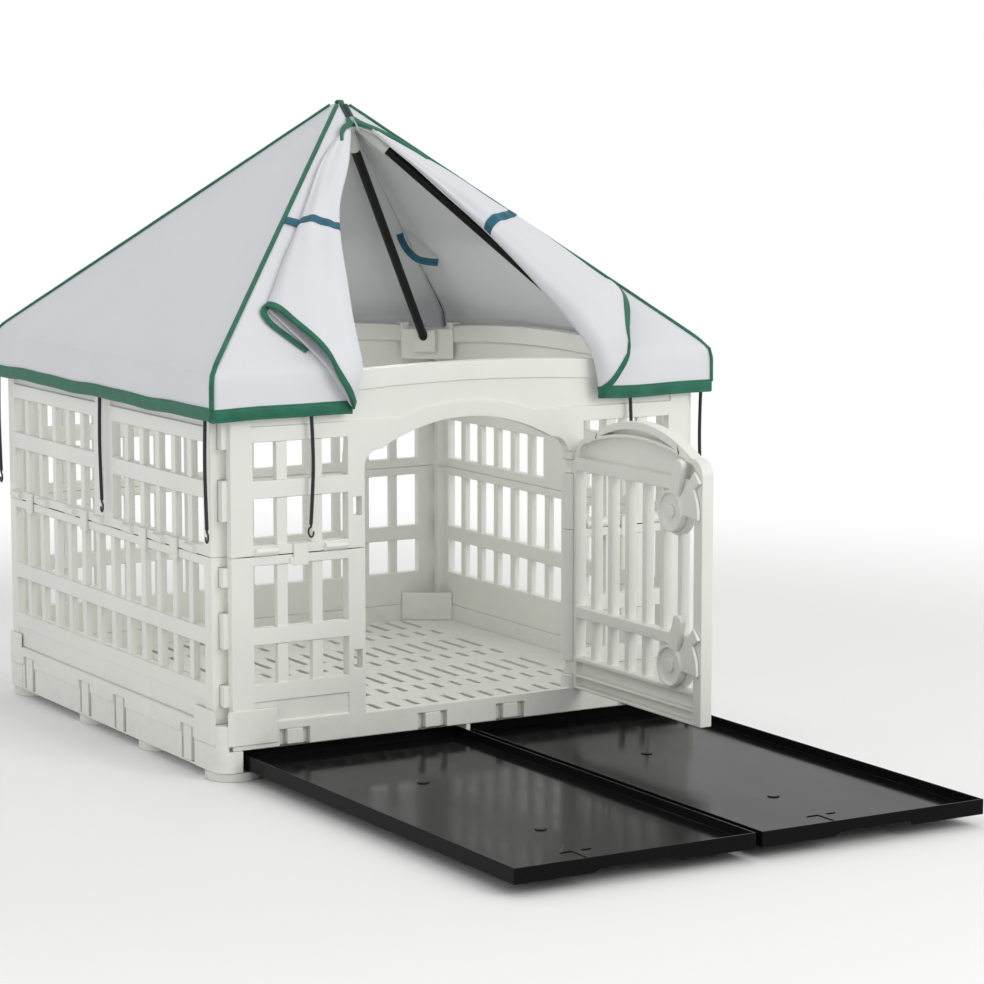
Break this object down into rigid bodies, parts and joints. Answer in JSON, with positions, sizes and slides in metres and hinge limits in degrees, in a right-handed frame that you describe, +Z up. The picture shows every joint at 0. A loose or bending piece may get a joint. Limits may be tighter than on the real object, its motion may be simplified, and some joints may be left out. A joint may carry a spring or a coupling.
{
  "type": "dog playpen",
  "caption": "Indoor dog playpen with lattice walls, an arched swing door, slide-out floor trays and a peaked cloth canopy tied open at the front.",
  "frame": {"origin": "centre of the pen's footprint on the ground, on the underside of the middle foot", "axes": "+Z up, +Y from the door to the back, +X to the right seen from the front"},
  "size_m": [0.799, 1.4725, 0.905],
  "materials": {
    "wall_plastic": "fine satin moulded plastic, warm off-white",
    "pad_plastic": "satin moulded feet",
    "pole_black": "black coated tube",
    "tray_plastic": "glossy black moulded plastic",
    "canopy_cloth": "light grey coated cloth",
    "green_binding": "woven green binding tape",
    "teal_strap": "woven teal strap",
    "zip_black": "dark zip tape",
    "zip_metal": "zip slider and pull",
    "elastic_black": "black braided elastic",
    "hook_plastic": "small moulded hooks"
  },
  "bodies": {
    "pen": {"front_lower": "wall_plastic", "front_upper": "wall_plastic", "left_lower": "wall_plastic", "left_upper": "wall_plastic", "right_lower": "wall_plastic", "right_upper": "wall_plastic", "back_lower": "wall_plastic", "back_upper": "wall_plastic", "seam_hooks": "wall_plastic", "door_hinge_pins": "wall_plastic", "corner_block_fl": "wall_plastic", "corner_block_fr": "wall_plastic", "corner_block_bl": "wall_plastic", "corner_block_br": "wall_plastic", "gusset_fl": "wall_plastic", "gusset_fr": "wall_plastic", "gusset_bl": "wall_plastic", "gusset_br": "wall_plastic", "floor_panel": "wall_plastic", "side_rail_left": "wall_plastic", "side_rail_right": "wall_plastic", "back_rail": "wall_plastic", "centre_rail": "wall_plastic", "base_clips": "wall_plastic", "hub": "wall_plastic", "foot_pads": "pad_plastic", "pole_fl": "pole_black", "pole_fr": "pole_black", "pole_bl": "pole_black", "pole_br": "pole_black"},
    "door": {"door_panel": "wall_plastic", "latch_pivots": "wall_plastic"},
    "latch_upper": {"latch_upper": "wall_plastic"},
    "latch_lower": {"latch_lower": "wall_plastic"},
    "tray_left": {"tray_left": "tray_plastic"},
    "tray_right": {"tray_right": "tray_plastic"},
    "canopy": {"canopy_left": "canopy_cloth", "canopy_right": "canopy_cloth", "canopy_back": "canopy_cloth", "flap_left": "canopy_cloth", "flap_right": "canopy_cloth", "hem_binding": "green_binding", "fold_binding": "green_binding", "hip_piping": "green_binding", "strap_left": "teal_strap", "strap_right": "teal_strap", "inner_strap": "teal_strap", "zip_tape": "zip_black", "elastic_ties": "elastic_black", "tie_hooks": "hook_plastic"},
    "zip_slider": {"zip_slider": "zip_metal"}
  },
  "joints": [
    {"name": "door_swing", "type": "hinge", "parent": "pen", "child": "door", "pos_m": [0.17625, -0.36325, 0.25], "axis": [0, 0, 1], "range_deg": [-90, 0]},
    {"name": "latch_upper_turn", "type": "hinge", "parent": "door", "child": "latch_upper", "pos_m": [0.166, -0.635, 0.364], "axis": [1, 0, 0], "range_deg": [0, 40]},
    {"name": "latch_lower_turn", "type": "hinge", "parent": "door", "child": "latch_lower", "pos_m": [0.166, -0.635, 0.152], "axis": [1, 0, 0], "range_deg": [0, 40]},
    {"name": "tray_left_slide", "type": "slide", "parent": "pen", "child": "tray_left", "axis": [0, 1, 0], "range_m": [0, 0.7]},
    {"name": "tray_right_slide", "type": "slide", "parent": "pen", "child": "tray_right", "axis": [0, 1, 0], "range_m": [0, 0.7]},
    {"name": "canopy_lift", "type": "slide", "parent": "pen", "child": "canopy", "axis": [0, 0, 1], "range_m": [0, 0.25]},
    {"name": "zip_run", "type": "slide", "parent": "canopy", "child": "zip_slider", "axis": [0, 0.7393, 0.6733], "range_m": [0, 0.01]}
  ]
}
